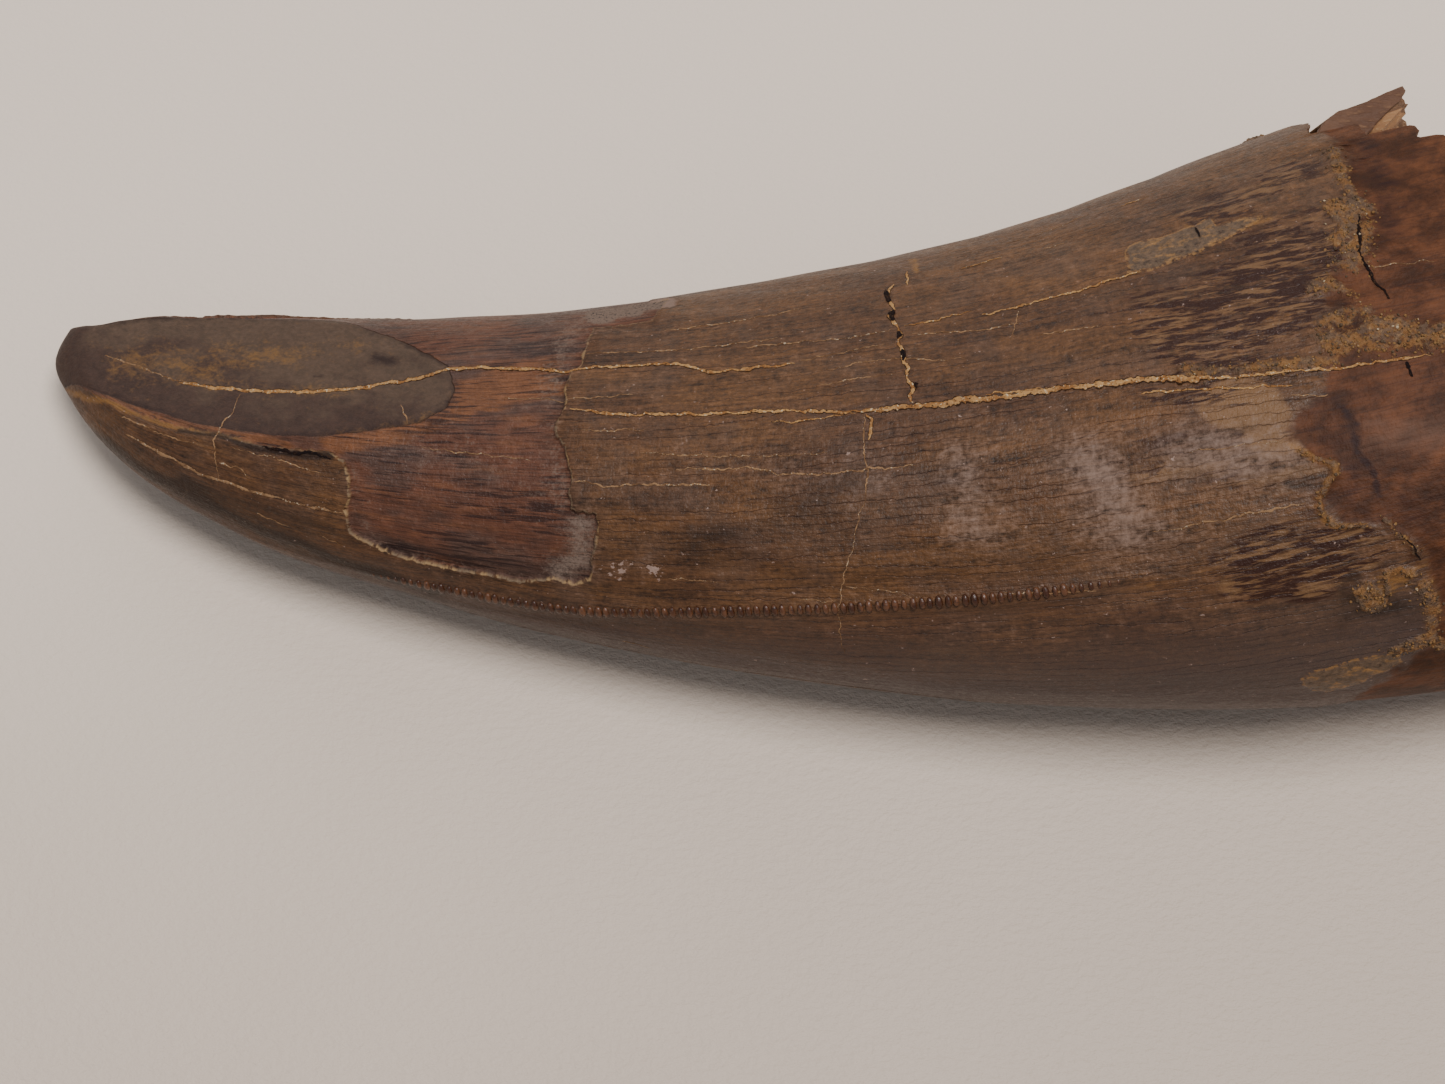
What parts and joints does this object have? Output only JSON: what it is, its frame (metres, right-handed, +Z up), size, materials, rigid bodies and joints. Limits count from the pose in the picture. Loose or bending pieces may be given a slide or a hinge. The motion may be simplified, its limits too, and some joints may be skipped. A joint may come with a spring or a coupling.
{
  "type": "fossil tyrannosaur tooth",
  "caption": "Curved fossil tooth with worn tip, chipped enamel, serrated keels and a hollow broken root, lying on its side.",
  "frame": {"origin": "under the middle of the tooth's bounding box, on the surface that it lies on", "axes": "+X from the tip towards the broken root, +Y towards the hollow (distal) edge, +Z up through the inner (lingual) face"},
  "size_m": [0.122, 0.0464, 0.0322],
  "materials": {
    "fossil_enamel": "mineralised enamel, satin, brown with dark grain"
  },
  "bodies": {
    "root": {"tooth": "fossil_enamel"}
  },
  "joints": []
}
